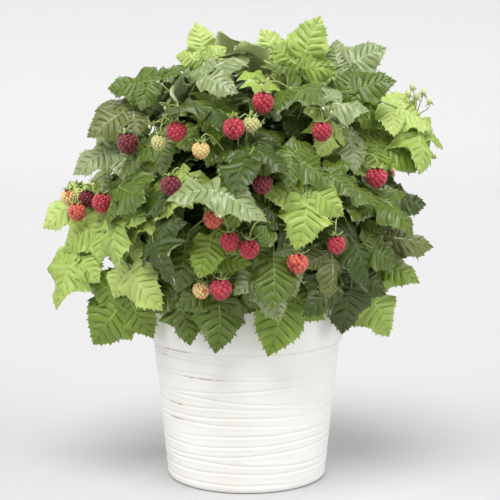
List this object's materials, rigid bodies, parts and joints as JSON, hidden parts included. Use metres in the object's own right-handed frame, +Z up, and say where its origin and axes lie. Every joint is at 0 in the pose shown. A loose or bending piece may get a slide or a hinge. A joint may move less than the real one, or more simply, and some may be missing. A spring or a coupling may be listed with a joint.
{
  "type": "potted raspberry plant",
  "caption": "Bushy raspberry plant with trifoliate leaves and ripening berries, standing in a round tapered ceramic pot with a plain rim band.",
  "frame": {"origin": "centre of the pot's flat underside, where it stands", "axes": "+Z up, along the pot's axis; -Y towards the front of the plant; +X to the right as seen from the front"},
  "size_m": [0.4179, 0.3899, 0.4892],
  "materials": {
    "pot": "satin",
    "soil": "matte",
    "cane": "matte",
    "leaves": "matte",
    "young_leaves": "matte"
  },
  "bodies": {
    "root": {"pot": "pot", "soil": "soil", "cane_crest_left": "cane", "cane_crest_right": "cane", "cane_crest_back": "cane", "cane_front": "cane", "cane_front_right": "cane", "cane_back_right": "cane", "cane_back": "cane", "cane_back_left": "cane", "cane_front_left": "cane", "leaves_crest_left": "young_leaves", "leaves_crest_right": "young_leaves", "leaves_crest_back": "leaves", "leaves_front": "leaves", "leaves_front_right": "leaves", "leaves_back_right": "leaves", "leaves_back": "leaves", "leaves_back_left": "leaves", "leaves_front_left": "leaves"}
  },
  "joints": []
}
